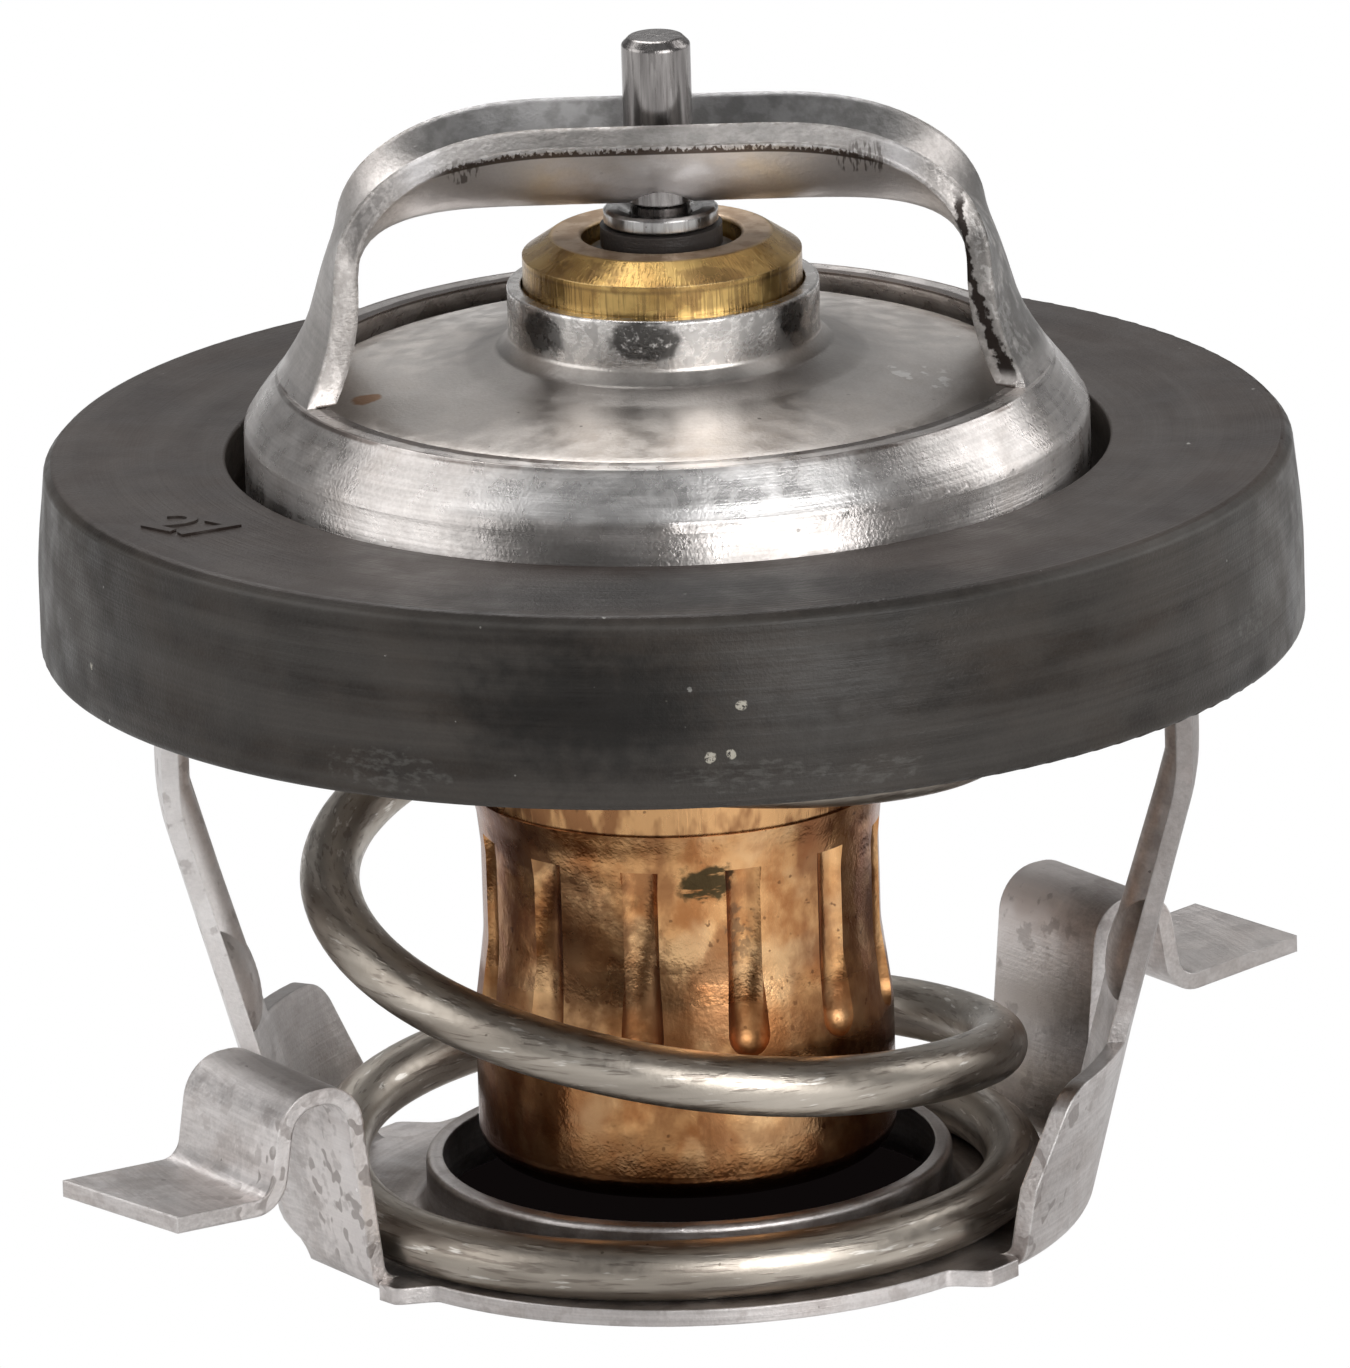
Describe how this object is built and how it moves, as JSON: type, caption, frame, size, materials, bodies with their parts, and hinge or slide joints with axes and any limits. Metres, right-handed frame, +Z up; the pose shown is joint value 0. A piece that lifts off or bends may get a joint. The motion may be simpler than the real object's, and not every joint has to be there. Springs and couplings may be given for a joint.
{
  "type": "engine thermostat",
  "caption": "Wax-pellet engine coolant thermostat: bridged flange in a rubber seal ring, sprung valve disc on a copper wax cup, wire-wound return spring and a folded cage.",
  "frame": {"origin": "on the valve axis, at the underside of the cage's base ring", "axes": "+Z up along the valve axis towards the pin, X along the bridge, the view of the closed valve is from -Y"},
  "size_m": [0.056, 0.056, 0.0543],
  "materials": {
    "flange_steel": "matt drawn sheet",
    "cage_steel": "matt pressed sheet",
    "seal_rubber": "matt, dusty",
    "pin_steel": "ground",
    "spring_steel": "oil-tempered wire",
    "plate_steel": "satin",
    "guide_brass": "turned, tarnished",
    "cup_copper": "tarnished copper",
    "wax": "waxy",
    "boot_rubber": "matt",
    "washer_steel": "bright"
  },
  "bodies": {
    "frame": {"bridge_flange": "flange_steel", "lower_cage": "cage_steel", "rubber_seal": "seal_rubber", "piston_pin": "pin_steel", "main_spring": "spring_steel"},
    "valve": {"valve_plate": "plate_steel", "guide_cap": "guide_brass", "copper_cup": "cup_copper", "wax_charge": "wax", "squeeze_boot": "boot_rubber", "washer": "washer_steel", "wiper_seal": "boot_rubber"}
  },
  "joints": [
    {"name": "valve_opening", "type": "slide", "parent": "frame", "child": "valve", "axis": [0, 0, -1], "range_m": [0, 0.008], "stiffness_N_per_m": 8000, "springref_m": -0.01, "deforming": ["main_spring"]}
  ]
}
